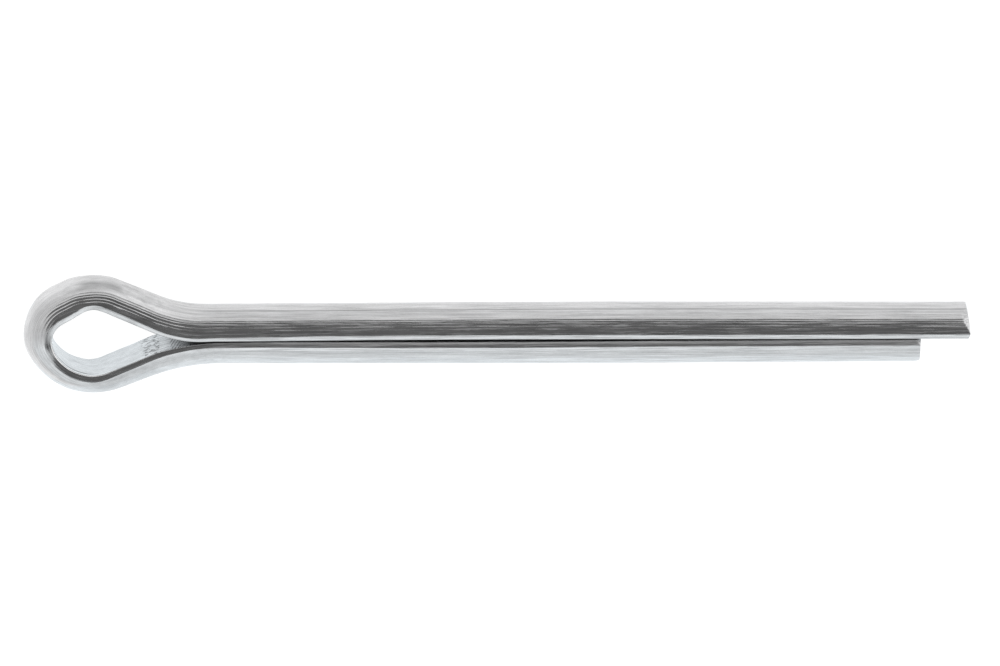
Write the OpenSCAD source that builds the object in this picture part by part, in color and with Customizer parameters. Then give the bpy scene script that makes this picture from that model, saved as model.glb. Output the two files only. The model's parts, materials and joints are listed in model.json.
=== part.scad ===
// Cotter pin: one length of half-round wire bent back on itself round an eye,
// its two flats face to face along the shank, one leg longer than the other.
// It lies in the XY plane as it would on a table: +X runs from the eye to the
// tips, +Y to the long leg, +Z up. The shank's axis is the X axis, and the long
// leg leaves the eye at the origin.

/* [Wire] */
// Width of the half-round wire, which is the diameter of the closed shank
wire_w = 4.6; // [4:0.1:5.6]
// How far the flat lies outside the centre of the crown's circle
flat_set = 0.1; // [0.06:0.01:0.15]
// Rounding along both edges of the flat
edge_r = 0.29; // [0.2:0.01:0.4]

/* [Shank] */
// Length of the short leg from the origin to its tip
short_leg = 53.4; // [40:0.2:90]
// How much further the long leg reaches than the short one
leg_step = 3.8; // [2:0.1:6]
// Gap between the two flats where the legs leave the eye
root_gap = 0.06; // [0.04:0.01:0.12]
// Gap between the two flats at the short leg's tip
tip_gap = 0.09; // [0.06:0.01:0.2]
// How far along the shank the legs spring apart before they close again
spring_at = 18; // [12:1:26]
// Angle at which each leg springs away from the axis
spring_out = 0.3; // [0.2:0.05:0.4]

/* [Eye] */
// Space between the two flats at the widest part of the eye
eye_gap = 4.76; // [3.8:0.02:6]
// Angle of both arms where they leave the shank
arm_angle = 22.5; // [18:0.25:26]
// Angle at which the wire runs down from the long leg's shoulder to the nose
brow_angle = 24; // [18:1:30]
// Turn of the tight bend at the nose
nose_turn = 99; // [95:1:105]
// Radius of the flat round the nose, as a share of the eye's gap
nose_share = 0.38; // [0.3:0.01:0.39]
// Radius of the flat over the long leg's shoulder, as a share of the eye's gap
long_shoulder_share = 0.65; // [0.5:0.01:0.75]
// Radius of the flat over the short leg's shoulder, as a share of the eye's gap
short_shoulder_share = 0.69; // [0.5:0.01:0.75]
// Radius of the flat where the long leg leaves the eye, as a share of the eye's gap
long_neck_share = 2.35; // [1.8:0.05:3]
// Radius of the flat where the short leg leaves the eye, as a share of the eye's gap
short_neck_share = 3.5; // [1.8:0.1:3.8]

/* [Sheared tips] */
// Slant of the shear cut, which leaves the flat side of each leg the longer
shear_slant = 12; // [0:1:20]
// Turn of the shear cut towards the upper side
shear_turn = 5; // [0:1:10]
// Depth to which the shear blade rolls the crown's corner over
roll_over = 0.15; // [0.1:0.05:0.4]

/* [Hidden] */
$fn = 64;
crown_r = wire_w / 2;
wire_t = crown_r - flat_set;
nose_r = nose_share * eye_gap;
long_shoulder_r = long_shoulder_share * eye_gap;
short_shoulder_r = short_shoulder_share * eye_gap;
long_neck_r = long_neck_share * eye_gap;
short_neck_r = short_neck_share * eye_gap;
// angle at which each leg closes towards the axis again
spring_in = atan(((root_gap - tip_gap) / 2 + spring_at * tan(spring_out)) / (short_leg - spring_at));
// radius of the slight bend between the two
spring_r = 200;
// half the section's width where the rounded edges end, a touch inside the crown
edge_half = crown_r - 0.03;
// a bend is drawn this much thinner than a straight, which laps over its ends,
// so the two always join through a clean shoulder
bend_inset = 0.01;
lap = 0.08;
// short straight between two bends that follow one another
link = 0.2;

// travel across and along the first heading, of a bend that turns between two angles
function across(r, from, to) = r * (cos(from) - cos(to));
function along(r, from, to) = r * (sin(to) - sin(from));

// straight part of an arm, worked out so that its leg starts beside the axis
function arm(shoulder_r, neck_r) =
    ((eye_gap - root_gap) / 2 - across(shoulder_r, 0, arm_angle)
        - across(neck_r, -spring_out, arm_angle)) / sin(arm_angle);
// distance along X from a shoulder's top to the root of its leg
function arm_reach(shoulder_r, neck_r) =
    link / 2 + along(shoulder_r, 0, arm_angle) + along(neck_r, -spring_out, arm_angle)
        + arm(shoulder_r, neck_r) * cos(arm_angle);

// turns of the wire from the long shoulder's top round to the short one's
nose_end = brow_angle + nose_turn;
// straight part of the brow, worked out so that the loop spans the eye's gap
brow = (eye_gap - across(long_shoulder_r, 0, brow_angle)
    - across(nose_r, brow_angle, nose_end) - link * sin(nose_end)
    - across(short_shoulder_r, nose_end, 180)) / sin(brow_angle);
// how far towards the nose the loop carries the wire, net of its way back
loop_reach = link / 2 + along(long_shoulder_r, 0, brow_angle) + brow * cos(brow_angle)
    + along(nose_r, brow_angle, nose_end) + link * cos(nose_end)
    + along(short_shoulder_r, nose_end, 180);
long_top_x = -arm_reach(long_shoulder_r, long_neck_r);
short_top_x = long_top_x - loop_reach;
short_root_x = short_top_x + arm_reach(short_shoulder_r, short_neck_r);

// the wire's section: X from the flat to the crown, Y across the width
module wire_section(inset = 0) {
    half = edge_half - inset;
    intersection() {
        translate([wire_t - crown_r, 0]) circle(crown_r - inset);
        translate([inset, 0]) union() {
            translate([edge_r, -half]) square([wire_t, 2 * half]);
            translate([0, edge_r - half]) square([wire_t, 2 * (half - edge_r)]);
            for (side = [-1, 1]) translate([edge_r, side * (half - edge_r)]) circle(edge_r);
        }
    }
}

// a straight length of wire along +X with its crown towards +Y, lapping over the
// bends at its ends, and whatever follows it
module straight(len) {
    translate([-lap, 0, 0]) rotate([90, 0, 90]) linear_extrude(len + 2 * lap) wire_section();
    translate([len, 0, 0]) children();
}

// a bend towards the flat side, with the radius of the flat
module bend(r, turn) {
    translate([0, -r, 0]) rotate([0, 0, 90 - turn]) rotate_extrude(angle = turn)
        translate([r, 0]) wire_section(bend_inset);
    translate([0, -r, 0]) rotate([0, 0, -turn]) translate([0, r, 0]) children();
}

// a bend towards the crown side, with the radius of the flat
module bend_back(r, turn) {
    translate([0, r, 0]) rotate([0, 0, -90]) rotate_extrude(angle = turn)
        translate([r, 0]) mirror([1, 0]) wire_section(bend_inset);
    translate([0, r, 0]) rotate([0, 0, turn]) translate([0, -r, 0]) children();
}

// what the shear takes off a leg whose flat ends at the origin
module shear_cut() {
    rotate([0, -shear_turn, shear_slant]) {
        beyond();
        translate([-roll_over, wire_t / cos(shear_slant), 0]) rotate([0, 0, 45]) beyond();
    }
}

// everything on the far side of the YZ plane that a leg can reach
module beyond() {
    translate([0, -2 * wire_w, -wire_w]) cube([3 * wire_w, 4 * wire_w, 2 * wire_w]);
}

// one side of the pin from the top of its shoulder along the arm to the tip
module side(shoulder_r, neck_r, leg) {
    straight(link / 2)
        bend(shoulder_r, arm_angle)
            straight(arm(shoulder_r, neck_r))
                bend_back(neck_r, arm_angle + spring_out)
                    straight(spring_at)
                        bend(spring_r, spring_out + spring_in)
                            difference() {
                                straight(leg - spring_at + wire_w);
                                translate([leg - spring_at - spring_r * sin(spring_out + spring_in), 0, 0])
                                    shear_cut();
                            }
}

// the far end of the eye, from the long shoulder's top round the nose to the short one's
module loop() {
    straight(link / 2)
        bend(long_shoulder_r, brow_angle)
            straight(brow)
                bend(nose_r, nose_turn)
                    straight(link)
                        bend(short_shoulder_r, 180 - nose_end);
}

module cotter_pin() {
    color("silver") {
        translate([long_top_x, eye_gap / 2, 0]) {
            side(long_shoulder_r, long_neck_r, short_leg + leg_step);
            mirror([1, 0, 0]) loop();
        }
        translate([short_top_x, -eye_gap / 2, 0]) mirror([0, 1, 0])
            side(short_shoulder_r, short_neck_r, short_leg - short_root_x);
    }
}

cotter_pin();
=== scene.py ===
# %% [markdown]
# # A split cotter pin in bright zinc
#
# A cotter pin is one length of half-round steel wire. It is folded flat side
# to flat side into two legs, with an eye at the fold, and its ends are
# sheared off with one leg left longer than the other. This lesson builds the
# looks of such a pin around a model that a CAD program has already made and
# measured. First that model is loaded. It stays where it is, and gives the
# pin's box and the wire's width.

# %% Load the imported model
import json
from math import cos, pi, radians, sin

import bpy
import numpy as np
from mathutils import Matrix, Vector


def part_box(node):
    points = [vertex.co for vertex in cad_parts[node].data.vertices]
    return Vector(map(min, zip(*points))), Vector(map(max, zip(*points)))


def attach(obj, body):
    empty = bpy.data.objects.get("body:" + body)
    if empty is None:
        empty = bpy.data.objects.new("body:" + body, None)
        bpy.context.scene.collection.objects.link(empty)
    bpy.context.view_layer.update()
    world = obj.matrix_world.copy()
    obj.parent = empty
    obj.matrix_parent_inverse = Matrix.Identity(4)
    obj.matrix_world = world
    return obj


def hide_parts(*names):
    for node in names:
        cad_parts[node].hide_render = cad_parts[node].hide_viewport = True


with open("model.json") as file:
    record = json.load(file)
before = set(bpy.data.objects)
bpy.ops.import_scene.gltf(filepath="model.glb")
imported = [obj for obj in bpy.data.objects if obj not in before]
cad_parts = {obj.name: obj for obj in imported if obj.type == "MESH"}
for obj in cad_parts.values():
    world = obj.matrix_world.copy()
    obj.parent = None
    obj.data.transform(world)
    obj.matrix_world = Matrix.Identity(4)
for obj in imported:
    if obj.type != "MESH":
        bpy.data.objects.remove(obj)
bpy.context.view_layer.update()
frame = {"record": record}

mm = 0.001                                  # Blender works in metres here

pin_low, pin_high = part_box("cotter_pin")
pin_middle = (pin_low + pin_high) / 2
shank = frame["record"]["mounts"][0]["dims"]
print("the shank's radius:", shank["r_mm"], "mm")

# %% [markdown]
# ## The bend list
#
# A wire former works from a list of lengths and turns: feed so much wire,
# bend it by so many degrees, feed again. The same list describes the pin.
# It starts at the long tip, goes up the long leg and round the eye, and comes
# back down the short leg. Drawing the outline as a spline by hand would be
# quicker, but a list keeps the legs straight and the bends true, and shows
# which number makes which part of the shape.

# %% Feed and turn
# Each line is a run of wire: its name, its length in mm and its turn in
# degrees. A turn to the left, round the eye, is positive.
bend_list = [
    ("long leg", 38.76, 0.0),
    ("spring", 0.44, 0.127),
    ("long leg root", 18.0, 0.0),
    ("neck", 4.412, -22.6),
    ("upper arm", 3.353, 0.0),
    ("upper shoulder", 1.215, 22.5),
    ("link", 0.2, 0.0),
    ("upper shoulder", 1.296, 24.0),
    ("brow", 0.47, 0.0),
    ("nose", 3.125, 99.0),
    ("link", 0.2, 0.0),
    ("lower shoulder", 3.267, 57.0),
    ("link", 0.1, 0.0),
    ("lower shoulder", 1.290, 22.5),
    ("lower arm", 2.226, 0.0),
    ("neck", 6.571, -22.6),
    ("short leg root", 18.0, 0.0),
    ("spring", 0.44, 0.127),
    ("short leg", 33.78, 0.0),
]
first_heading = 180 - 0.027                 # degrees; the wire sets out to -X
bend_blend = 0.9                            # mm over which a turn comes on

run_lengths = [length for _, length, _ in bend_list]
run_turns = [turn for _, _, turn in bend_list]
wire_length = sum(run_lengths)
print("wire in the pin:", round(wire_length, 1), "mm")

# %% Walk along the list
step = 0.02                                 # mm between the points of the walk
travel = np.arange(0, wire_length + step / 2, step)
corners = np.concatenate([[0], np.cumsum(run_lengths)])
headings = np.radians(first_heading + np.concatenate([[0], np.cumsum(run_turns)]))


def soften(values, width):
    """The values averaged along the wire over a bell of that width in mm."""
    half = round(width / step / 2)
    bell = np.hanning(2 * half + 3)[1:-1]
    return np.convolve(np.pad(values, half, mode="edge"), bell / bell.sum(),
                       mode="valid")


heading = soften(np.interp(travel, corners, headings), bend_blend)
mid = (heading[1:] + heading[:-1]) / 2
line_x = np.concatenate([[0], np.cumsum(np.cos(mid) * step)])
line_y = np.concatenate([[0], np.cumsum(np.sin(mid) * step)])

# The line is the middle of the wire's flat side. It starts at the long tip, a
# little inside the box, and the eye's highest point is put half an eye opening
# above the axis.
eye_opening = 4.76                          # mm between the flats
cut_room = 0.232                            # mm that the sheared end needs
line_x += pin_high.x / mm - cut_room - line_x[0]
line_y += eye_opening / 2 - line_y.max()
print("the flat side runs from x", round(line_x.min(), 2), "to",
      round(line_x.max(), 2), "and ends at y", round(line_y[-1], 3))

# %% [markdown]
# ## How thick the wire is along its length
#
# Bending squeezes the wire. On the real pin the wire is thinner round the eye
# than in the legs, and the inside of the eye shows where the forming tool
# pressed: it is hollowed at both shoulders and swells between them, before the
# nose. Two lists say this, one for the crown, the outside of the wire, and one
# for the flat side. Both give the distance from the line at a few places, and
# are softened in between.

# %% Crown and flat
crown_list = [                              # mm along the wire, mm from the line
    (0, 2.10), (27, 2.20), (50, 2.16), (56, 2.15), (60, 2.18), (63, 2.20),
    (65.2, 2.19), (65.9, 2.11), (66.5, 2.05), (67.2, 2.03), (67.9, 1.94),
    (68.6, 1.95), (69.3, 1.93), (70, 1.94), (70.8, 2.10), (72, 2.09),
    (73.3, 2.15), (74.2, 2.17), (75.4, 2.18), (76.2, 2.20), (77.5, 2.22),
    (80, 2.24), (84, 2.25), (90, 2.28), (114, 2.33), (wire_length, 2.27),
]
flat_list = [
    (0, 0), (12, 0), (24, 0.04), (36, 0.055), (45, 0.04), (53, 0), (56.5, 0),
    (58.5, -0.06), (60.3, -0.04), (61.5, 0), (63, 0.03), (64.6, 0.06), (65.4, 0.10),
    (66, 0.17), (66.6, 0.06), (67.2, -0.15), (67.8, -0.28), (68.4, -0.31),
    (69, -0.23), (69.7, -0.10), (70.6, 0), (71.8, 0.17), (73.2, 0.26),
    (74, 0.28), (74.6, 0.32), (75.2, 0.26), (75.9, 0.15), (78.2, 0.13),
    (80, 0.04), (82, 0.05), (85, 0.06), (88, 0.02), (94, 0.04), (106, 0.065),
    (117, 0.015), (wire_length, 0),
]


def along_wire(pairs, width=0.7):
    """A value for each point of the walk, from a list of (travel, value)."""
    return soften(np.interp(travel, *zip(*pairs)), width)


crown, flat = along_wire(crown_list), along_wire(flat_list)
print("thinnest place:", round((crown - flat).min(), 2), "mm at",
      round(travel[(crown - flat).argmin()], 1), "mm along the wire")

# %% The bevel along the edges
# Where the wire turns sharply at the nose, its inner edges are squeezed up, so
# the bevel there is wider and lies almost level. Each line is mm along the
# wire, the bevel's width in mm, and the two directions it faces between, in
# degrees from the middle of the crown.
bevel_list = [
    (0, 0.33, 94, 108), (50, 0.32, 94, 108), (58, 0.24, 94, 108),
    (60.5, 0.24, 94, 108), (63, 0.32, 93, 107), (68, 0.34, 92, 107),
    (70.2, 0.40, 85, 100), (72, 0.46, 82, 102), (74.4, 0.40, 87, 107),
    (76, 0.36, 92, 108), (79, 0.34, 94, 110), (82.5, 0.25, 95, 112),
    (85, 0.30, 96, 120), (90, 0.38, 97, 134), (wire_length, 0.38, 97, 134),
]
bevel_travel, bevel_width, bevel_from, bevel_to = zip(*bevel_list)
print("bevel", min(bevel_width), "to", max(bevel_width), "mm wide")

# %% [markdown]
# ## Stations
#
# The line is cut into stations, where the sweep will put one ring of points
# each. The straight legs need few. The bends need many, because the light
# runs round them, and so do the two tips, where the shear has rolled the wire
# over. Past each tip a few more rings shrink to the middle and close the end.

# %% Where the rings go
tip_rings = [0, 0.04, 0.09, 0.15, 0.22, 0.30, 0.38, 0.46, 0.6, 0.9]
leg_spacing, bend_spacing = 0.9, 0.16
eye_start, eye_end = 55.5, 86.5             # mm along the wire
long_gap, short_gap = 1.5, 1.2              # mm from a tip to the leg's rings

long_leg = np.arange(long_gap, eye_start, leg_spacing)
eye = np.arange(eye_start, eye_end, bend_spacing)
short_leg = np.arange(eye_end, wire_length - short_gap, leg_spacing)
stations = np.concatenate([tip_rings, long_leg, eye, short_leg,
                           wire_length - np.array(tip_rings[::-1])])

# The rings that close an end: the share of the section that is left.
closing = [0.93, 0.75, 0.45, 0.15, 0.01]
station_travel = np.concatenate([[0] * len(closing), stations,
                                 [wire_length] * len(closing)])
station_fill = np.concatenate([closing[::-1], np.ones(len(stations)), closing])
print(len(station_travel), "rings of points along the wire")

# %% [markdown]
# ## Sheared tips
#
# The wire is cut by a shear and not by a saw, so no tip is square and clean.
# The blade leaves the flat side of the long leg the longer, rolls the outer
# corner of each crown over, and cuts the short leg off nearly square. It also
# bites a facet out of the side that it comes from. A Boolean cut could only
# leave a plane. Here the rings near the tips are shifted and pressed instead,
# each by an amount that dies away from the tip.

# %% How the tips are sheared
from_tip = np.minimum(station_travel, wire_length - station_travel)
at_long_tip = station_travel < wire_length / 2


def at_tips(long_value, short_value):
    """One value at the long tip's end of the wire, another at the short one's."""
    return np.where(at_long_tip, long_value, short_value)


# Each shift of the cut goes the way that the wire travels, so a value below 0
# lengthens the long tip, and one above 0 lengthens the short tip.
cut_reach = 1.2                                 # mm from the tip, where it ends
cut_fades = np.clip(1 - from_tip / cut_reach, 0, 1)
cut_longer = at_tips(-0.17, 0.0) * cut_fades    # mm, for the whole end
cut_turn = at_tips(0.07, 0.0) * cut_fades       # mm for each square mm out
cut_slant = at_tips(0.03, -0.04) * cut_fades    # mm for each mm up
cut_heel = at_tips(0.15, 0.04) * cut_fades      # mm, at the flat side
roll_length, roll_depth = at_tips(0.12, 0.50), at_tips(0.04, 0.07)      # mm
roll = roll_depth * np.clip(1 - from_tip / roll_length, 0, 1) ** 2
bite = at_tips(0.41, 0.38)                      # mm that the blade bit back
bite_none, bite_full = at_tips(0.35, 0.50), at_tips(1.35, 0.0)      # mm out
print("the shear has moved", int((cut_fades > 0).sum()), "rings")

# %% [markdown]
# ## A line that carries its measures
#
# The stations become a mesh of points and edges. Each point carries its place,
# its two directions and all its measures as attributes. Geometry Nodes reads
# them by name, so one tree holds the rule of the shape, and the measures stay
# in lists that a person can read and change.

# %% The line as a mesh
place = np.column_stack([
    np.interp(station_travel, travel, line_x),
    np.interp(station_travel, travel, line_y),
    np.zeros(len(station_travel)),
]) * mm
turn_there = np.interp(station_travel, travel, heading)
along = np.column_stack([np.cos(turn_there), np.sin(turn_there), 0 * turn_there])
outward = np.column_stack([np.sin(turn_there), -np.cos(turn_there),
                           0 * turn_there])

line_mesh = bpy.data.meshes.new("wire_line")
line_mesh.from_pydata(
    [tuple(p) for p in place],
    [(i, i + 1) for i in range(len(place) - 1)], [])


def carry(name, values, kind="FLOAT"):
    """Stores one value for each station on the line's points."""
    attribute = line_mesh.attributes.new(name, kind, "POINT")
    field = "value" if kind == "FLOAT" else "vector"
    attribute.data.foreach_set(field, np.asarray(values, np.float32).ravel())


carry("spot", place, "FLOAT_VECTOR")
carry("along", along, "FLOAT_VECTOR")
carry("outward", outward, "FLOAT_VECTOR")
carry("travel", station_travel * mm)
carry("crown", np.interp(station_travel, travel, crown) * mm)
carry("flat", np.interp(station_travel, travel, flat) * mm)
carry("bevel", np.interp(station_travel, bevel_travel, bevel_width) * mm)
carry("begins", np.radians(np.interp(station_travel, bevel_travel, bevel_from)))
carry("ends", np.radians(np.interp(station_travel, bevel_travel, bevel_to)))
carry("fill", station_fill)
carry("roll", roll * mm)
carry("cut_longer", cut_longer * mm)
carry("cut_turn", cut_turn / mm)
carry("cut_slant", cut_slant)
carry("cut_heel", cut_heel * mm)
carry("bite", bite * mm)
carry("bite_none", bite_none * mm)
carry("bite_full", bite_full * mm)
carry("from_tip", from_tip * mm)

pin = bpy.data.objects.new("cotter_pin_wire", line_mesh)
bpy.context.scene.collection.objects.link(pin)
print("the line carries", len(line_mesh.attributes), "attributes")

# %% [markdown]
# ## Formulas out of nodes
#
# Geometry Nodes and shader nodes both do arithmetic with Math nodes. Writing
# `width / 2 - edge` is easier to read than five lines that place and link
# nodes, so this small class turns such a formula into Math nodes.

# %% A number that makes nodes
def feed(tree, socket, value):
    """Links a socket or a Num to an input, or sets a plain value on it."""
    if isinstance(value, Num):
        value = value.socket
    if isinstance(value, bpy.types.NodeSocket):
        tree.links.new(value, socket)
    else:
        socket.default_value = value


def put(tree, kind, inputs=None, **settings):
    """Adds a node, sets its settings and feeds its inputs by name or number."""
    node = tree.nodes.new(kind)
    row = len(tree.nodes)
    node.location = (170 * (row // 6), -190 * (row % 6))
    for name, value in settings.items():
        setattr(node, name, value)
    for key, value in (inputs or {}).items():
        feed(tree, node.inputs[key], value)
    return node


class Num:
    """A value in a node tree. Arithmetic on it adds Math nodes."""

    def __init__(self, tree, socket):
        self.tree, self.socket = tree, socket

    def math(self, operation, *others):
        node = put(self.tree, "ShaderNodeMath",
                   dict(enumerate((self, *others))), operation=operation)
        return Num(self.tree, node.outputs[0])

    def __add__(self, other):
        return self.math("ADD", other)

    def __sub__(self, other):
        return self.math("SUBTRACT", other)

    def __mul__(self, other):
        return self.math("MULTIPLY", other)

    def __truediv__(self, other):
        return self.math("DIVIDE", other)

    __radd__ = __add__
    __rmul__ = __mul__

    def __rsub__(self, other):
        return self.math("MULTIPLY", -1.0).math("ADD", other)

    def ramp(self, low, high, to_low=0.0, to_high=1.0, smooth=False):
        """This value mapped from one range to another, and held there."""
        node = put(self.tree, "ShaderNodeMapRange",
                   {0: self, 1: low, 2: high, 3: to_low, 4: to_high},
                   interpolation_type="SMOOTHSTEP" if smooth else "LINEAR")
        return Num(self.tree, node.outputs[0])


def group_of(kind, name, takes, gives):
    """A node group with its inputs (name, type, value) and outputs (name, type)."""
    tree = bpy.data.node_groups.new(name, kind)
    for label, socket_type, value in takes:
        socket = tree.interface.new_socket(label, in_out="INPUT",
                                           socket_type=socket_type)
        if value is not None:
            socket.default_value = value
    for label, socket_type in gives:
        tree.interface.new_socket(label, in_out="OUTPUT", socket_type=socket_type)
    entry = put(tree, "NodeGroupInput")
    leave = put(tree, "NodeGroupOutput")
    return tree, entry, leave


# %% Short words for common nodes
def inputs_of(tree, entry, *names):
    """A group's inputs of those names, ready for formulas."""
    return [Num(tree, entry.outputs[name]) for name in names]


def split(tree, place):
    """The three parts of a vector."""
    node = put(tree, "ShaderNodeSeparateXYZ", {0: place})
    return [Num(tree, socket) for socket in node.outputs]


def vector_of(tree, x=0.0, y=0.0, z=0.0):
    """A vector put together from three parts."""
    return put(tree, "ShaderNodeCombineXYZ", {0: x, 1: y, 2: z}).outputs[0]


def mixed(tree, part, first, second):
    """The first colour with that part of the second mixed in."""
    node = put(tree, "ShaderNodeMix", {0: part, 6: first, 7: second},
               data_type="RGBA")
    return node.outputs[2]


def window(travelled, comes, full, fades, gone, smooth=True):
    """1 from full to fades, in mm along the wire, and 0 outside comes and gone."""
    return (travelled.ramp(comes * mm, full * mm, smooth=smooth)
            * travelled.ramp(fades * mm, gone * mm, 1, 0, smooth=smooth))


# %% [markdown]
# ## The section of the wire
#
# The wire's section is a D: a half circle for the outside of the pin, a flat
# for the inside, and a narrow bevel along each edge, where the rolls that
# flattened the wire have pressed it. A circle cut by Boolean would leave the
# edges sharp. Here one formula goes once round the D. It follows the direction
# that the surface faces, from the middle of the crown (0 degrees) over the
# bevel to the flat (180 degrees). Each arc takes over from the last one where
# the direction passes its limit, so the surface is smooth everywhere. Points
# are set closer together on the shoulders and the edges, because the fine
# ridges from the drawing die and the sharpest highlights are there.

# %% Node group: once round the D
number, vector = "NodeSocketFloat", "NodeSocketVector"
plating = 0.003                             # mm of zinc on each side
wire_width = 2 * (shank["r_mm"] + plating) * mm
corner_round, edge_round = 0.15 * mm, 0.10 * mm

section, entry, leave = group_of(
    "GeometryNodeTree", "wire section",
    [("Share", number, 0.0), ("Width", number, wire_width),
     ("Thickness", number, 2.2 * mm), ("Corner round", number, corner_round),
     ("Bevel", number, 0.33 * mm), ("Bevel from", number, radians(94)),
     ("Bevel to", number, radians(108)), ("Edge round", number, edge_round)],
    [("Out", number), ("Up", number), ("Faces", number), ("Around", number),
     ("Over flat", number)])
share, width, thick, corner, bevel, begins, ends, edge = inputs_of(
    section, entry, "Share", "Width", "Thickness", "Corner round", "Bevel",
    "Bevel from", "Bevel to", "Edge round")

shoulder_from = radians(42)                 # where the closer points begin
shares = [0.24, 0.60, 0.67, 0.77, 0.84]     # of a half section, at each change
crowding = 2.2                              # of the flat's points to its edges

radius = width / 2
centre = thick - radius                     # of the crown, measured from the flat
bevel_radius = bevel / (ends - begins)
meet = ((edge - centre - (corner - bevel_radius) * begins.math("COSINE")
         - (bevel_radius - edge) * ends.math("COSINE"))
        / (radius - corner)).math("ARCCOSINE")
side = share * 2 - 1                        # -1 to 1, with 0 at the crown
half = side.math("ABSOLUTE")
faces = (half.ramp(0, shares[0], 0, shoulder_from)
         + half.ramp(shares[0], shares[1], 0, meet - shoulder_from)
         + half.ramp(shares[1], shares[2], 0, begins - meet)
         + half.ramp(shares[2], shares[3], 0, ends - begins)
         + half.ramp(shares[3], shares[4], 0, pi - ends))
over_flat = half.ramp(shares[4], 1).math("POWER", crowding)

arcs = [(radius - corner, faces.math("MINIMUM", meet)),
        (corner - bevel_radius, faces.math("MINIMUM", begins)),
        (bevel_radius - edge, faces.math("MINIMUM", ends)),
        (edge, faces)]
out = sum(away * turned.math("COSINE") for away, turned in arcs) + centre
rise = sum(away * turned.math("SINE") for away, turned in arcs)
around = sum(away * turned for away, turned in arcs) + rise * over_flat
up = rise * (1 - over_flat) * side.math("SIGN")

for label, value in (("Out", out), ("Up", up), ("Faces", faces),
                     ("Around", around), ("Over flat", rise * over_flat)):
    feed(section, leave.inputs[label], value)
print("section group:", len(section.nodes), "nodes")

# %% [markdown]
# ## Marks from the drawing die
#
# A worn die leaves fine ridges that run the whole length of the wire. On this
# pin a handful of them lie side by side on each shoulder. Round the eye they
# are high enough to draw bright and dark lines, and on the legs they fade, so
# they are real shape, and not only a trick of the surface. Each ridge is a
# narrow rise at one place on the section, a few hundredths of a millimetre
# high. It wanders a little, and comes and goes. One groove, the print of a
# chip in the die, runs along the crown of the long leg in the same way.

# %% Node group: die marks
ridge_height, ridge_width = 0.034 * mm, 0.08 * mm
groove_depth, groove_width = 0.016 * mm, 0.11 * mm

marks, entry, leave = group_of(
    "GeometryNodeTree", "die marks",
    [("Around", number, 0.0), ("Travel", number, 0.0),
     ("In eye", number, 1.0), ("On leg", number, 0.0),
     ("Ridge height", number, ridge_height),
     ("Ridge width", number, ridge_width),
     ("Groove depth", number, groove_depth),
     ("Groove width", number, groove_width)],
    [("Lift", number), ("Groove", number)])
(around_in, travel_in, eye_part, leg_part, high, ridge_half, deep,
 groove_half) = inputs_of(
    marks, entry, "Around", "Travel", "In eye", "On leg", "Ridge height",
    "Ridge width", "Groove depth", "Groove width")


def drift(travelled):
    """A noise that swings slowly round 0.5, about once for each 1 travelled."""
    node = put(marks, "ShaderNodeTexNoise",
               {"W": travelled, "Scale": 1.0, "Detail": 2.0},
               noise_dimensions="1D")
    return Num(marks, node.outputs[0])


def rise_at(place, half_width):
    """1 at one place round the section, falling to 0 within the half width."""
    away = (around_in - place).math("ABSOLUTE")
    return (1 - away / half_width).math("MAXIMUM", 0.0)


ridge_list = [              # mm round from the crown, share in eye and on leg
    (1.80, 0.26, 0.10), (1.91, 0.00, -0.20), (2.01, 0.22, 0.05),
    (2.19, 0.46, 0.16), (2.43, 0.84, 0.50), (2.65, 1.08, 0.62),
    (2.88, 0.55, 0.20),
]
wander_length, wander_reach = 2.5 * mm, 0.07 * mm
fade_length, fade_apart = 2.2 * mm, 17      # so that no two fade together

# The ridges wander, and round the neck all of them bow toward the flat.
wander = ((drift(travel_in / wander_length) - 0.5) * wander_reach
          + window(travel_in, 57, 60, 62, 65, smooth=False) * wander_reach)
ridges = []
for place, in_eye, on_leg in ridge_list:
    kept = drift(travel_in / fade_length + fade_apart * place)
    part = (eye_part * in_eye * kept.ramp(0.35, 0.65, 0.75, 1.10)
            + leg_part * on_leg * kept.ramp(0.35, 0.65, 0.5, 1.15))
    ridges.append(rise_at(wander + place * mm, ridge_half) * part)

# A low wide swelling at the shoulder of the leg draws a clean line there.
swelling = rise_at(1.84 * mm, 0.22 * mm) * leg_part * 0.45
groove = rise_at(0.90 * mm, groove_half)
feed(marks, leave.inputs["Lift"], (sum(ridges) + swelling) * high - groove * deep)
feed(marks, leave.inputs["Groove"], groove)
print("die marks group:", len(ridge_list), "ridges,", len(marks.nodes), "nodes")

# %% [markdown]
# ## The sweep
#
# Curve to Mesh carries a ring of points along the line and joins the rings
# with faces. Its own idea of the ring's place isn't exact enough for the
# sheared tips, so every point is then set from the measures that the line
# carries: out from the flat, up or down, and along the wire by the slant of
# the cut. The tree stores the place on the wire as an attribute too, for the
# drawn lines of the finish, and ends in Set Material.

# %% Geometry Nodes: the line and the ring
sweep, entry, leave = group_of(
    "GeometryNodeTree", "bent wire",
    [("Line", "NodeSocketGeometry", None), ("Section points", "NodeSocketInt", 224),
     ("Width", number, wire_width), ("Corner round", number, corner_round),
     ("Edge round", number, edge_round), ("Ridge height", number, ridge_height),
     ("Groove depth", number, groove_depth), ("Finish", "NodeSocketMaterial", None)],
    [("Pin", "NodeSocketGeometry")])
given = {s.name: Num(sweep, s) for s in entry.outputs}


def carried(name, kind="FLOAT"):
    """Reads a measure that the line carries."""
    node = put(sweep, "GeometryNodeInputNamedAttribute", {"Name": name},
               data_type=kind)
    return Num(sweep, node.outputs["Attribute"])


def stored(geometry, name, value, kind="FLOAT"):
    """Stores a value on each point under that name."""
    node = put(sweep, "GeometryNodeStoreNamedAttribute",
               {"Geometry": geometry, "Name": name, "Value": value},
               data_type=kind, domain="POINT")
    return node.outputs[0]


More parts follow.
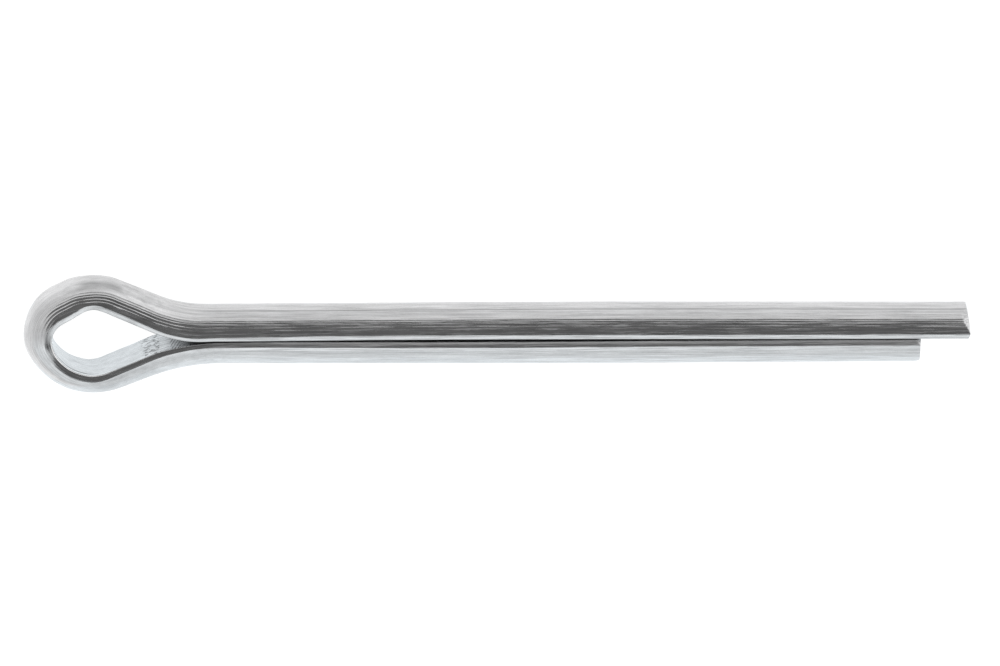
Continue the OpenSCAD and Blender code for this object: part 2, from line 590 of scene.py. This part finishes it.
line = put(sweep, "GeometryNodeMeshToCurve", {"Mesh": given["Line"]})
circle = put(sweep, "GeometryNodeCurvePrimitiveCircle",
             {"Resolution": given["Section points"], "Radius": 1 * mm})
index = Num(sweep, put(sweep, "GeometryNodeInputIndex").outputs[0])
ring = stored(circle.outputs["Curve"], "share", index / given["Section points"])
skin = put(sweep, "GeometryNodeCurveToMesh",
           {"Curve": line.outputs["Curve"], "Profile Curve": ring,
            "Fill Caps": True})
print("sweep tree so far:", len(sweep.nodes), "nodes")

# %% Geometry Nodes: one section at each ring
flat_here = carried("flat")
thick_here = carried("crown") - flat_here
travel_here = carried("travel")

# Squeezed in the bend of the nose, the edges of the flat are rounder.
in_bend = window(travel_here, 69.6, 70.6, 75, 77)
edge_here = given["Edge round"] * (1 + in_bend * 0.8)

d_shape = put(sweep, "GeometryNodeGroup", {
    "Share": carried("share"), "Width": given["Width"], "Thickness": thick_here,
    "Edge round": edge_here, "Corner round": given["Corner round"],
    "Bevel": carried("bevel"), "Bevel from": carried("begins"),
    "Bevel to": carried("ends")}, node_tree=section)
out, up, faces, around, over_flat = [
    Num(sweep, d_shape.outputs[n]) for n in
    ("Out", "Up", "Faces", "Around", "Over flat")]
upper = up.math("GREATER_THAN", 0.0)        # 1 on the side that faces up
print("sweep tree so far:", len(sweep.nodes), "nodes")

# %% Geometry Nodes: ridges, groove and seam
# The ridges are at their highest round the eye and fade along the legs.
round_eye = (window(travel_here, 57.5, 60, 68.8, 70.3)
             * travel_here.ramp(63 * mm, 66 * mm, 0.92, 1, smooth=True))
on_long_leg = travel_here.ramp(56 * mm, 60 * mm, 1, 0, smooth=True)
on_legs = on_long_leg + travel_here.ramp(80 * mm, 86 * mm, 0, 0.5, smooth=True)
grooved = on_long_leg * upper
mark = put(sweep, "GeometryNodeGroup", {
    "Around": around, "Travel": travel_here, "In eye": round_eye,
    "On leg": on_legs, "Ridge height": given["Ridge height"],
    "Groove depth": given["Groove depth"] * grooved}, node_tree=marks)

# Beside the squeezed edge at the nose a fine seam runs along the flat. It has
# steep sides and a level bottom, because its depth is cut off at the full 1.
seam_place, seam_side, seam_depth = 0.29 * mm, 0.08 * mm, 0.045 * mm
seam = ((1.6 - (over_flat - seam_place).math("ABSOLUTE") / seam_side)
        .math("MAXIMUM", 0.0).math("MINIMUM", 1.0) * upper
        * window(travel_here, 70.4, 71.2, 74, 75.2, smooth=False))
# The seam's dark colour is painted shade, stored together with the groove's
# darkening.
seam_painted_shade = 1.7                             # times as dark as the groove
groove_and_seam_shade = (Num(sweep, mark.outputs["Groove"]) * grooved).math(
    "MAXIMUM", seam * seam_painted_shade)

lift = Num(sweep, mark.outputs["Lift"]) - seam * seam_depth
out = out + lift * faces.math("COSINE")
up = up + lift * faces.math("SINE") * up.math("SIGN")
print("sweep tree so far:", len(sweep.nodes), "nodes")

# %% Geometry Nodes: rolled, bitten and sheared tips
# At the tips the blade rolls the crown's corner over and bites a facet out of
# its upper side. The closing rings shrink to the heart of the D.
fill = carried("fill")
heart = thick_here * 0.42
facet_slope = 0.6                           # mm down for each mm along
bitten = (out.ramp(carried("bite_none"), carried("bite_full")) * carried("bite")
          - carried("from_tip")).math("MAXIMUM", 0.0) * facet_slope
up = up - bitten * up.ramp(0.2 * mm, 1.4 * mm)
out = out * (1 - carried("roll") / thick_here)
final_out = flat_here + heart + (out - heart) * fill
final_up = up * fill
slant = (final_up * carried("cut_slant") + carried("cut_longer")
         + final_out * final_out * carried("cut_turn")
         + final_out.ramp(0, 0.4 * mm, 1, 0) * carried("cut_heel"))
print("sweep tree so far:", len(sweep.nodes), "nodes")


# %% Geometry Nodes: set every point in its place
def scaled(direction, amount):
    """A direction times a length."""
    node = put(sweep, "ShaderNodeVectorMath", {0: direction, "Scale": amount},
               operation="SCALE")
    return node.outputs[0]


def added(first, second):
    """The sum of two vectors."""
    node = put(sweep, "ShaderNodeVectorMath", {0: first, 1: second},
               operation="ADD")
    return node.outputs[0]


where = added(added(carried("spot", "FLOAT_VECTOR"),
                    scaled(carried("outward", "FLOAT_VECTOR"), final_out)),
              added(vector_of(sweep, z=final_up),
                    scaled(carried("along", "FLOAT_VECTOR"), slant)))
shaped = put(sweep, "GeometryNodeSetPosition",
             {"Geometry": skin.outputs["Mesh"], "Position": where}).outputs[0]
print("sweep tree so far:", len(sweep.nodes), "nodes")

# %% Geometry Nodes: what the finish will read, and the end of the tree
# The inner edge of the nose has been pressed against the forming pin, and a painted
# highlight makes it bright.
polished = (in_bend * faces.ramp(radians(112), radians(118))
            * over_flat.ramp(0, 0.06 * mm, 1, 0) * upper)
on_wire = vector_of(sweep, travel_here, final_out, final_up)
shaped = stored(shaped, "on_wire", on_wire, "FLOAT_VECTOR")
# The stored groove carries the groove's darkening and the seam's painted shade.
shaped = stored(shaped, "groove", groove_and_seam_shade)
shaped = stored(shaped, "polished", polished)

smooth = put(sweep, "GeometryNodeSetShadeSmooth",
             {"Geometry": shaped, "Shade Smooth": True})
whole = put(sweep, "GeometryNodeRealizeInstances",
            {"Geometry": smooth.outputs[0]})
finished = put(sweep, "GeometryNodeSetMaterial",
               {"Geometry": whole.outputs[0], "Material": given["Finish"]})
feed(sweep, leave.inputs["Pin"], finished.outputs[0])
print("whole sweep tree:", len(sweep.nodes), "nodes")

# %% [markdown]
# ## The finish: bright zinc over drawn steel
#
# The plating is a few thousandths of a millimetre of zinc with a clear
# passivate. It is a metal, so almost all of its look is reflection, and the
# shape of the surface under it shows through: lines along the wire from the
# drawing die, and a mottle where the plating is a little rougher.
# The patterns follow the wire round its bends, so they read the place on the
# wire that the sweep stored, and not the place in space. Each kind of pattern
# is a node group, placed several times with its own size and seed.

# %% Node group: drawn lines
shader = "ShaderNodeTree"
drawn, entry, leave = group_of(
    shader, "drawn lines",
    [("On wire", vector, (0, 0, 0)), ("Line length", number, 8 * mm),
     ("Line pitch", number, 0.17 * mm), ("Contrast", number, 1.0),
     ("Seed", number, 0.0)],
    [("Lines", number)])
length, pitch, contrast, seed = inputs_of(
    drawn, entry, "Line length", "Line pitch", "Contrast", "Seed")
gone, outward_by, up_by = split(drawn, entry.outputs["On wire"])
streaks = put(drawn, "ShaderNodeTexNoise",
              {"Vector": vector_of(drawn, gone / length + seed,
                                   outward_by / pitch, up_by / pitch),
               "Scale": 1.0, "Detail": 2.0, "Roughness": 0.55})
noise_spread = 2.2                          # noise alone stays near its middle
lines = (Num(drawn, streaks.outputs["Fac"]) - 0.5) * contrast * noise_spread + 0.5
feed(drawn, leave.inputs["Lines"],
     lines.math("MAXIMUM", 0.0).math("MINIMUM", 1.0))
print("drawn lines group:", len(drawn.nodes), "nodes")

# %% Node group: mottle
mottle, entry, leave = group_of(
    shader, "zinc mottle",
    [("On wire", vector, (0, 0, 0)), ("Patch", number, 1.1 * mm),
     ("Stretch", number, 2.5), ("Seed", number, 0.0), ("Detail", number, 4.0)],
    [("Mottle", number)])
patch, stretch, seed, detail = inputs_of(
    mottle, entry, "Patch", "Stretch", "Seed", "Detail")
gone, outward_by, up_by = split(mottle, entry.outputs["On wire"])
patches = put(mottle, "ShaderNodeTexNoise",
              {"Vector": vector_of(mottle, gone / patch / stretch + seed,
                                   outward_by / patch, up_by / patch),
               "Scale": 1.0, "Detail": detail, "Roughness": 0.6})
feed(mottle, leave.inputs["Mottle"],
     Num(mottle, patches.outputs["Fac"]).ramp(0.3, 0.7))
print("mottle group:", len(mottle.nodes), "nodes")

# %% The material and the place on the wire
zinc = bpy.data.materials.new("bright_zinc")
zinc.use_nodes = True
steel = zinc.node_tree
steel.nodes.clear()


def read(name, output="Fac"):
    """Reads what the sweep stored on the surface."""
    node = put(steel, "ShaderNodeAttribute", attribute_type="GEOMETRY",
               attribute_name=name)
    return Num(steel, node.outputs[output])


place_on_wire = read("on_wire", "Vector")
travel_on, out_on, up_on = split(steel, place_on_wire)      # all in metres


def between(low, high, soft):
    """1 on the wire between two places in mm, fading out over soft mm."""
    return window(travel_on, low - soft, low, high, high + soft)


print("finish so far:", len(steel.nodes), "nodes")


# %% Eight patterns
def lines_with(length, pitch, contrast, seed):
    """Drawn lines of that length and pitch in mm."""
    node = put(steel, "ShaderNodeGroup",
               {"On wire": place_on_wire, "Line length": length * mm,
                "Line pitch": pitch * mm, "Contrast": contrast, "Seed": seed},
               node_tree=drawn)
    return Num(steel, node.outputs["Lines"])


def mottle_with(patch, stretch, seed, detail):
    """A mottle whose patches have that size in mm across the wire."""
    node = put(steel, "ShaderNodeGroup",
               {"On wire": place_on_wire, "Patch": patch * mm,
                "Stretch": stretch, "Seed": seed, "Detail": detail},
               node_tree=mottle)
    return Num(steel, node.outputs["Mottle"])


coarse = lines_with(length=8, pitch=0.17, contrast=2.2, seed=3)
fine = lines_with(length=3.4, pitch=0.11, contrast=3.0, seed=11)
scratch = lines_with(length=3.0, pitch=0.10, contrast=2.4, seed=51)
bloom = mottle_with(patch=1.1, stretch=2.5, seed=5, detail=4)
grain = mottle_with(patch=0.18, stretch=2.5, seed=8, detail=2)
cloud = mottle_with(patch=0.42, stretch=1.5, seed=41, detail=3)
smear = mottle_with(patch=0.75, stretch=2.6, seed=21, detail=1.5)
scuff = mottle_with(patch=0.20, stretch=1.5, seed=33, detail=1.5)
print("patterns placed,", len(steel.nodes), "nodes so far")

# %% [markdown]
# ## Wear from forming and handling, and painted shade
#
# A wire former leaves its own marks. Where its tool slid over the shoulder of
# the eye, the zinc is smeared and greyer, with one pressed streak. Inside the
# eye, where the arms close on each other, the flat of the lower arm is scuffed
# and has a short ladder of fine rungs, and near the crossing it is darkened
# with painted shade. The short leg's edges are rubbed. Each mark is a mask: a
# pattern, cut down to a stretch of wire and to one part of the section. The
# masks make the zinc duller, rougher or both further down, and the painted
# shade is mixed in with the dull colour.

# %% Masks of the wear, and of painted shade
pressed_up, pressed_half = 1.0 * mm, 0.55 * mm
pressed = between(65.0, 66.4, 0.8) * (
    1 - ((up_on - pressed_up) / pressed_half).math("ABSOLUTE")
).math("MAXIMUM", 0.0)
smeared = ((smear.ramp(0.45, 1.0, smooth=True) * 0.7 + pressed)
           * between(63, 66.8, 1.2))

rubbed = (up_on.math("ABSOLUTE").ramp(1.98 * mm, 2.08 * mm)
          * out_on.ramp(0.05 * mm, 0.50 * mm, 1, 0)
          * travel_on.ramp(82 * mm, 87 * mm))

rung_pitch, rung_lean = 0.27 * mm, 0.35
rungs = ((travel_on + up_on * rung_lean) / rung_pitch * (2 * pi)).math("SINE")
on_flat = out_on.ramp(0.10 * mm, 0.16 * mm, 1, 0)
scuffs_and_painted_shade = on_flat * (
    scuff.ramp(0.53, 0.66) * between(78.7, 79.9, 0.25) * 0.9
    + (1 - coarse).ramp(0.35, 0.8) * between(79.8, 81, 0.3) * 0.55
    + rungs.ramp(0, 0.6) * scuff.ramp(0.2, 0.4) * between(80.9, 81.6, 0.08) * 0.9
    # Painted shade: the flat darkens toward the crossing, where the arms close.
    + between(82.6, 88, 0.7) * 0.45)

# The die's short scratches are rougher than the wire between them, and they
# are fewer round the eye. One stretch at the nose is bruised.
scratched = scratch.ramp(0.60, 0.95) * (1 - between(61, 82, 3) * 0.7)
bruised = between(70.1, 70.4, 0.35)
print("wear masks placed,", len(steel.nodes), "nodes so far")

# %% [markdown]
# ## Colour, shine and fine relief
#
# A metal's base colour is the colour of its reflection. It runs between a
# darker and a lighter zinc by a tone. On the legs the tone is made of lines,
# and round the eye the lines are rubbed out and the zinc looks clouded. The
# roughness is low between the scratches, so the tent's edge stays crisp there.
# The relief is a few thousandths of a millimetre, enough to fray a reflection.

# %% Colour
dark_zinc, light_zinc = (0.515, 0.515, 0.518, 1), (0.835, 0.835, 0.838, 1)
dull_and_shade_zinc, edge_highlight_zinc = (0.20, 0.20, 0.202, 1), (0.96, 0.96, 0.96, 1)

lined = (coarse * 0.32 + fine * 0.32 + bloom * 0.08 + grain * 0.12
         + (1 - scratch) * 0.16)
mottled = cloud * 0.65 + bloom * 0.35
clouded = between(62, 84, 3) * 0.65
streaked = (scratch.ramp(0.2, 0.8) - 0.5) * between(68.5, 73.5, 1.5)
# Painted sheen: the wire between the shoulder and the nose is made lighter in
# colour.
painted_sheen = between(67.0, 68.3, 0.8)          # between the shoulder and the nose
darker = between(75.4, 79.0, 1.3) * out_on.ramp(0.5 * mm, 1.2 * mm)
tone = (lined * (1 - clouded) + mottled * clouded + streaked * 0.35
        + painted_sheen * 0.27 - darker * 0.24)

# The dull colour carries the groove, the smear and the scuffs, and also painted
# shade near the crossing and in the seam.
dull_and_shade = (read("groove") * 0.6).math("MAXIMUM", smeared * 0.45).math(
    "MAXIMUM", scuffs_and_painted_shade * 0.75).math("MINIMUM", 1.0)
base = mixed(steel, tone, dark_zinc, light_zinc)
base = mixed(steel, dull_and_shade, base, dull_and_shade_zinc)
# A painted highlight along the pressed inner edge of the nose.
base = mixed(steel, read("polished"), base, edge_highlight_zinc)
print("colour placed,", len(steel.nodes), "nodes so far")

# %% Shine and fine relief
rough = (coarse * 0.04 + fine * 0.10 + 0.11 + scratched * 0.26 + rubbed * 0.36
         + scuffs_and_painted_shade * 0.2 + bruised * 0.14).math("MINIMUM", 0.6)
height = coarse * 0.0008 + fine * 0.0010 + grain * 0.001        # in mm
bump = put(steel, "ShaderNodeBump",
           {"Height": height, "Distance": 1 * mm, "Strength": 1.0})
metal = put(steel, "ShaderNodeBsdfPrincipled",
            {"Base Color": base, "Metallic": 1.0, "Roughness": rough,
             "Normal": bump.outputs[0]})
put(steel, "ShaderNodeOutputMaterial", {"Surface": metal.outputs[0]})
print("whole finish:", len(steel.nodes), "nodes")

# %% [markdown]
# ## Make the wire
#
# The modifier gets its sizes by the identifiers of its sockets, before it is
# evaluated for the first time. The evaluated result becomes a plain mesh, and
# the modifier goes: from here on the pin is ordinary geometry.

# %% Evaluate the sweep
sizes = {"Section points": 224, "Width": wire_width,
         "Corner round": corner_round, "Edge round": edge_round,
         "Ridge height": ridge_height, "Groove depth": groove_depth,
         "Finish": zinc}
modifier = pin.modifiers.new("bent wire", "NODES")
modifier.node_group = sweep
identifiers = {item.name: item.identifier for item in sweep.interface.items_tree
               if item.in_out == "INPUT"}
for name, value in sizes.items():
    modifier[identifiers[name]] = value

bpy.context.view_layer.update()
evaluated = pin.evaluated_get(bpy.context.evaluated_depsgraph_get())
body = bpy.data.meshes.new_from_object(evaluated)
pin.modifiers.remove(modifier)
pin.data = body
body.name = "cotter_pin_wire"
body.materials.clear()
body.materials.append(zinc)
sharp_angle = radians(42)                   # edges that turn more stay crisp
body.set_sharp_from_angle(angle=sharp_angle)
print("mesh:", len(body.vertices), "points")

# %% [markdown]
# ## Check it, and hand it over
#
# A solid that is swept can come out inside out, with a volume below 0, and it
# can be left open. Both are measured, and the first is put right. Then the
# pin rides with the one body, and stands for the CAD model's wire.

# %% Volume, open edges and the body it rides on
import bmesh

check = bmesh.new()
check.from_mesh(body)
volume = check.calc_volume(signed=True)
if volume < 0:                              # the rings were wound the other way
    bmesh.ops.reverse_faces(check, faces=check.faces)
    check.to_mesh(body)
open_edges = [e for e in check.edges if not e.is_manifold]
triangles = sum(len(f.verts) - 2 for f in check.faces)
print("volume", round(abs(volume) / mm ** 3, 1), "mm3,", triangles, "triangles,",
      len(open_edges), "open edges")
check.free()

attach(pin, "root")
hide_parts("cotter_pin")

# %% [markdown]
# ## The camera
#
# The pin is looked at from above, and a little from the side of the longer
# leg. The camera stands almost two metres away with a very long lens, as
# small hardware is usually shown, so that both ends have the same scale.

# %% Camera
lean = radians(18.9)                        # from straight above toward +Y
swing = radians(-4.0)                       # toward the eye
tilt = radians(-0.206)                      # of the frame about the view
distance = 1.97                             # m
sensor_width = 36.0                         # mm
seen_width = 74.833 * mm                    # what the frame takes in at the pin
aim_x = 22 * mm                             # along the pin's axis
aim_from_axis = 0.0973 * mm                 # right of that place and below it

right = Vector((1, 0, 0))
up_way = Vector((0, cos(lean), -sin(lean)))
back = Vector((0, sin(lean), cos(lean)))
right, back = (cos(swing) * right - sin(swing) * back,
               sin(swing) * right + cos(swing) * back)
right, up_way = (cos(tilt) * right + sin(tilt) * up_way,
                 cos(tilt) * up_way - sin(tilt) * right)

aim = Vector((aim_x, 0, 0)) + (right - up_way) * aim_from_axis
camera_data = bpy.data.cameras.new("studio_camera")
camera_data.sensor_width = sensor_width
camera_data.lens = sensor_width * distance / seen_width
camera = bpy.data.objects.new("studio_camera", camera_data)
camera.matrix_world = Matrix.Translation(aim + back * distance) @ Matrix(
    (right, up_way, back)).transposed().to_4x4()
bpy.context.scene.collection.objects.link(camera)
bpy.context.scene.camera = camera
print("lens", round(camera_data.lens), "mm at", distance, "m")

# %% [markdown]
# ## The light tent
#
# Bright metal shows its surroundings. Small hardware is lit inside a white
# tent, and the one dark thing in there is the opening that the camera looks
# through. It makes the dark band that gives a round bright part its shape. So
# the world is a pale tent, with a dark opening in one fixed direction. Its rim
# is narrow, because the band on the pin ends sharply, and it reaches a little
# further on the side of the tips. The camera itself sees plain white there.

# %% The tent's walls
opening_way = Vector((0, sin(lean), cos(lean)))
opening_half, rim_width = radians(42), radians(2.5)
further = radians(5)                        # on the side of the tips
in_opening, on_walls = 0.135, 0.79          # brightness, where 1 is white

world = bpy.data.worlds.new("light_tent")
bpy.context.scene.world = world
world.use_nodes = True
sky = world.node_tree
sky.nodes.clear()
looking = put(sky, "ShaderNodeTexCoord").outputs["Generated"]
toward = put(sky, "ShaderNodeVectorMath", {0: looking, 1: opening_way},
             operation="DOT_PRODUCT")
angle = Num(sky, toward.outputs["Value"]).math("ARCCOSINE")
endways, sideways, _ = split(sky, looking)

opening_ends = opening_half + endways.ramp(0.25, 0.50) * further
walls = (((angle - opening_ends) / rim_width).ramp(
    0, 1, in_opening, on_walls, smooth=True)
    + angle.ramp(radians(80), radians(100), 0.0, 0.12, smooth=True))
print("opening of", round(2 * opening_half * 180 / pi), "degrees")

# %% The tent's lamps, and its colour
# A soft strip of light stands on the short leg's side, and is shaded toward
# the tips. A lamp stands past the tips on the long leg's side. Past the nose
# the wall is a little lighter on the short leg's side.
strip = (angle.ramp(radians(44), radians(54), smooth=True)
         * angle.ramp(radians(68), radians(77), 1, 0, smooth=True)
         * sideways.ramp(-0.2, -0.5, 0, 1)
         * endways.ramp(-0.05, 0.2, 0.28, 0.17))
past_tips = (endways.ramp(0.05, 0.40) * sideways.ramp(-0.3, 0.3, 0.02, 0.55)
             * angle.ramp(radians(50), radians(72)) + 1)
past_nose = 1 + (endways.ramp(-0.2, -0.6)
                 * sideways.ramp(-0.5, -0.1, 0.08, -0.10))
tint = mixed(sky, sideways.ramp(-0.1, -0.5), (1.0, 1.0, 1.005, 1),
             (0.965, 1.0, 1.02, 1))
tent = put(sky, "ShaderNodeBackground",
           {"Color": tint, "Strength": (walls + strip) * (past_tips * past_nose)})
backdrop = put(sky, "ShaderNodeBackground",
               {"Color": (1, 1, 1, 1), "Strength": 1.0})
seen = put(sky, "ShaderNodeLightPath").outputs["Is Camera Ray"]
shown = put(sky, "ShaderNodeMixShader",
            {0: seen, 1: tent.outputs[0], 2: backdrop.outputs[0]})
put(sky, "ShaderNodeOutputWorld", {"Surface": shown.outputs[0]})
print("tent:", len(sky.nodes), "nodes")

# %% [markdown]
# ## The floor
#
# The pin lies on white paper. To the camera the paper is white, and the pin's
# soft shadow falls on it. The shiny pin also mirrors the paper low on its sides
# and inside its eye. There the paper is lit by the tent, and a glow is added
# with a painted pool of light close round the pin and painted shade under the
# closed legs, where hardly any light gets in. So the paper has a matt part that
# takes the shadow, and a glow that differs for the camera and for reflections.

# %% A sheet of paper under the pin
floor_z = pin_low.z
reach = 3.0                                 # m each way
floor_mesh = bpy.data.meshes.new("floor")
floor_mesh.from_pydata([(-reach, -reach, floor_z), (reach, -reach, floor_z),
                        (reach, reach, floor_z), (-reach, reach, floor_z)],
                       [], [(0, 1, 2, 3)])
floor = bpy.data.objects.new("floor", floor_mesh)
bpy.context.scene.collection.objects.link(floor)

paper = bpy.data.materials.new("white_paper")
paper.use_nodes = True
sheet = paper.node_tree
sheet.nodes.clear()
floor_mesh.materials.append(paper)
along_x, across_y, _ = split(
    sheet, put(sheet, "ShaderNodeTexCoord").outputs["Object"])
print("floor at z", round(floor_z / mm, 2), "mm")

# %% How bright the pin sees the paper: painted light and shade
past_ends = ((along_x - pin_middle.x).math("ABSOLUTE")
             - (pin_high.x - pin_low.x) / 2).math("MAXIMUM", 0.0)
beside = across_y.math("MAXIMUM", 0.0)
from_pin = (past_ends * past_ends + beside * beside).math("SQRT")
# A painted pool of light: the glow is brightest close round the pin.
painted_light_pool = (from_pin.ramp(2.2 * mm, 3.2 * mm, 0.93, 0.84)
        - from_pin.ramp(7.5 * mm, 10.5 * mm, 0.0, 0.14, smooth=True))
# Painted shade: the glow is cut down under the closed legs.
painted_shade_under_legs = (along_x.ramp(-3.6 * mm, -1.6 * mm, smooth=True)
              * across_y.math("ABSOLUTE").ramp(0.3 * mm, 1.3 * mm, 1, 0,
                                               smooth=True))
painted_light_pool = painted_light_pool * (1 - painted_shade_under_legs * 0.9)
# The painted glow is tinted faintly blue on the short leg's side of the pin.
cool = mixed(sheet, across_y.ramp(0, 3 * mm).math(
    "MAXIMUM", along_x.ramp(-13 * mm, -14.5 * mm)),
    (0.945, 1.0, 1.035, 1), (1.0, 1.0, 1.005, 1))
print("paper seen by the pin:", len(sheet.nodes), "nodes")

# %% The paper's material
path = put(sheet, "ShaderNodeLightPath")
in_metal = Num(sheet, path.outputs["Is Glossy Ray"]).math(
    "MAXIMUM", path.outputs["Is Transmission Ray"])
to_camera = Num(sheet, path.outputs["Is Camera Ray"])
matt = put(sheet, "ShaderNodeBsdfDiffuse", {"Color": (0.28, 0.28, 0.28, 1)})
white = put(sheet, "ShaderNodeEmission", {"Strength": to_camera * 0.96})
pale = put(sheet, "ShaderNodeEmission",
           {"Color": cool, "Strength": in_metal * painted_light_pool})
both = put(sheet, "ShaderNodeAddShader", {0: white.outputs[0], 1: pale.outputs[0]})
both = put(sheet, "ShaderNodeAddShader", {0: matt.outputs[0], 1: both.outputs[0]})
put(sheet, "ShaderNodeOutputMaterial", {"Surface": both.outputs[0]})

bpy.context.scene.view_settings.view_transform = "Standard"
print("paper:", len(sheet.nodes), "nodes")
